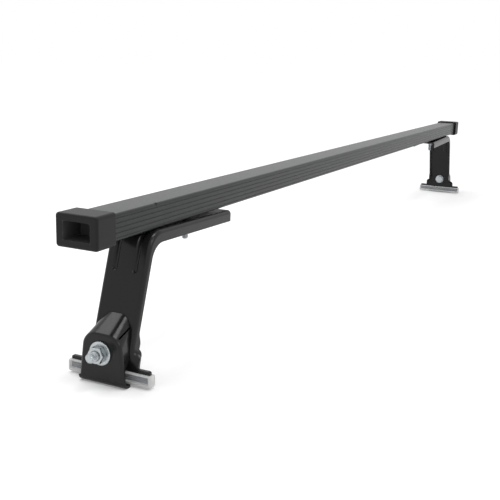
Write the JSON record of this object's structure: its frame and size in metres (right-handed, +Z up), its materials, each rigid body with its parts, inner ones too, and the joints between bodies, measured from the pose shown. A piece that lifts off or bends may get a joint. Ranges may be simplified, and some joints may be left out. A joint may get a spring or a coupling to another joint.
{
  "type": "gutter-mounted roof bar",
  "caption": "Roof bar for vehicles with rain gutters: a coated rectangular tube on pressed steel feet, each with a booted blade and a screwed claw that grips the gutter.",
  "frame": {"origin": "on the ground under the middle of the bar, where the claws' lips stand", "axes": "+X along the bar, +Z up, +Y across the bar"},
  "size_m": [1.256, 0.081, 0.1453],
  "materials": {
    "bar_coating": "matte black plastic coating over steel tube",
    "cap_plastic": "moulded black plastic, fine grain",
    "gloss_black": "gloss black coating over pressed steel",
    "clear_vinyl": "smoky translucent soft vinyl",
    "zinc": "bright zinc-plated steel"
  },
  "bodies": {
    "bar": {"crossbar": "bar_coating", "left_end_cap": "cap_plastic", "right_end_cap": "cap_plastic"},
    "left_foot": {"left_foot": "gloss_black", "left_boot": "clear_vinyl", "left_claw_bolt": "zinc", "left_claw_head_washer": "zinc", "left_bar_bolt": "zinc", "left_bar_washer": "zinc", "left_bar_nut": "zinc"},
    "left_claw": {"left_claw": "gloss_black", "left_claw_washer": "zinc"},
    "left_nut": {"left_claw_nut": "zinc"},
    "right_foot": {"right_foot": "gloss_black", "right_boot": "clear_vinyl", "right_claw_bolt": "zinc", "right_claw_head_washer": "zinc", "right_bar_bolt": "zinc", "right_bar_washer": "zinc", "right_bar_nut": "zinc"},
    "right_claw": {"right_claw": "gloss_black", "right_claw_washer": "zinc"},
    "right_nut": {"right_claw_nut": "zinc"}
  },
  "joints": [
    {"name": "left_foot_slide", "type": "slide", "parent": "bar", "child": "left_foot", "axis": [1, 0, 0], "range_m": [-0.035, 0.035]},
    {"name": "left_claw_slide", "type": "slide", "parent": "left_foot", "child": "left_claw", "axis": [-1, 0, 0], "range_m": [0, 0.008]},
    {"name": "left_nut_turn", "type": "hinge", "parent": "left_claw", "child": "left_nut", "pos_m": [-0.602, 0, 0.0277], "axis": [-1, 0, 0], "range_deg": [0, 2304]},
    {"name": "right_foot_slide", "type": "slide", "parent": "bar", "child": "right_foot", "axis": [1, 0, 0], "range_m": [-0.035, 0.035]},
    {"name": "right_claw_slide", "type": "slide", "parent": "right_foot", "child": "right_claw", "axis": [1, 0, 0], "range_m": [0, 0.008]},
    {"name": "right_nut_turn", "type": "hinge", "parent": "right_claw", "child": "right_nut", "pos_m": [0.602, 0, 0.0277], "axis": [1, 0, 0], "range_deg": [0, 2304]}
  ],
  "couplings": [
    {"joint": "left_nut_turn", "follows": "left_claw_slide", "rad_per_m": 5026.5},
    {"joint": "right_nut_turn", "follows": "right_claw_slide", "rad_per_m": 5026.5}
  ]
}
